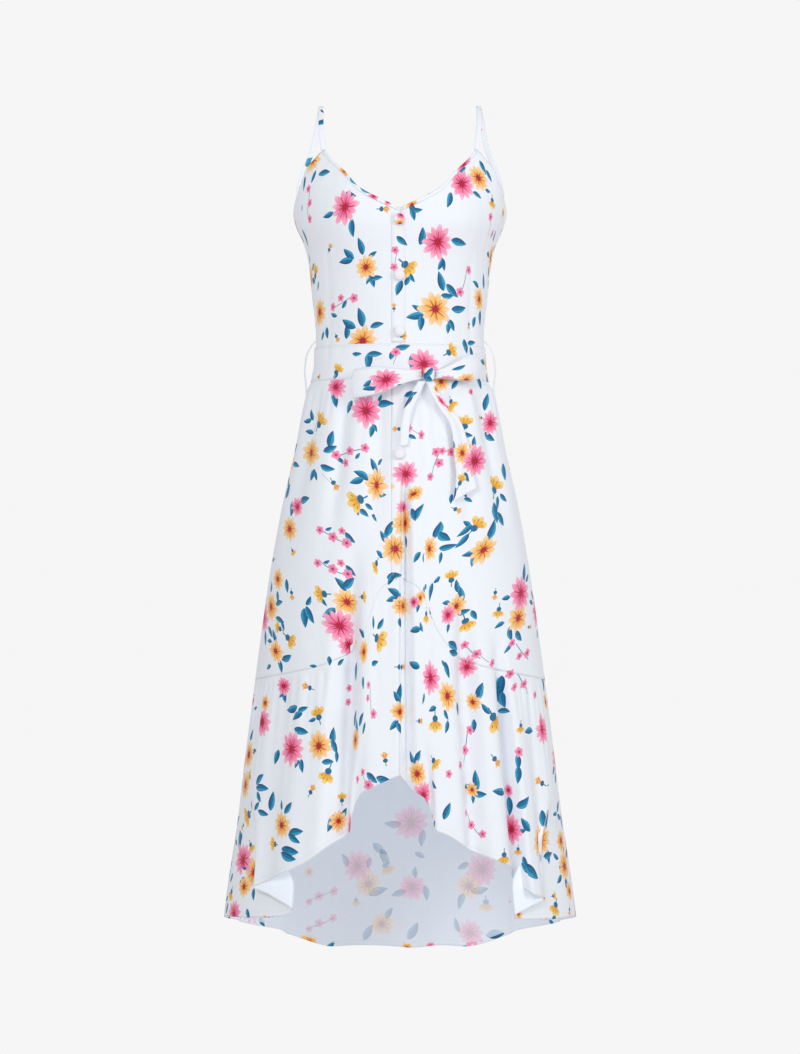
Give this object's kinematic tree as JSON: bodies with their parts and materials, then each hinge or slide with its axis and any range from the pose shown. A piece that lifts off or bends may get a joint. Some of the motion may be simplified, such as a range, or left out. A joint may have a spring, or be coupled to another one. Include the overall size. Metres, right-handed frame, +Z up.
{
  "type": "sundress",
  "caption": "Sleeveless V-neck sundress with narrow straps, buttoned front, tied sash with bow, gathered skirt and a gathered flounce on a dipping hem; filled out and hollow.",
  "frame": {"origin": "midway between the tops of the two shoulder straps, at their underside", "axes": "+Z up, the front of the dress faces -Y, +X is the right side as seen from the front"},
  "size_m": [0.5309, 0.4148, 1.3041],
  "materials": {
    "printed_cloth": "light plain-woven cloth, cool white with a scattered flower print, soft slight sheen",
    "tie_cloth": "the same printed cloth, doubled, for the sash and bow",
    "covered_button": "domed button covered in the white cloth"
  },
  "bodies": {
    "root": {"bodice_front_left": "printed_cloth", "bodice_front_right": "printed_cloth", "bodice_back": "printed_cloth", "neck_binding_left": "printed_cloth", "neck_binding_right": "printed_cloth", "placket_bodice": "printed_cloth", "placket_skirt": "printed_cloth", "strap_left": "printed_cloth", "strap_right": "printed_cloth", "skirt_front_left": "printed_cloth", "skirt_front_right": "printed_cloth", "skirt_back": "printed_cloth", "flounce_front_left": "printed_cloth", "flounce_front_right": "printed_cloth", "flounce_back": "printed_cloth", "sash": "tie_cloth", "knot": "tie_cloth", "bow_loop_left": "tie_cloth", "bow_loop_right": "tie_cloth", "tail_long": "tie_cloth", "tail_short": "tie_cloth", "belt_loop_left": "printed_cloth", "belt_loop_right": "printed_cloth", "button_1": "covered_button", "button_2": "covered_button", "button_3": "covered_button", "button_4": "covered_button"}
  },
  "joints": []
}
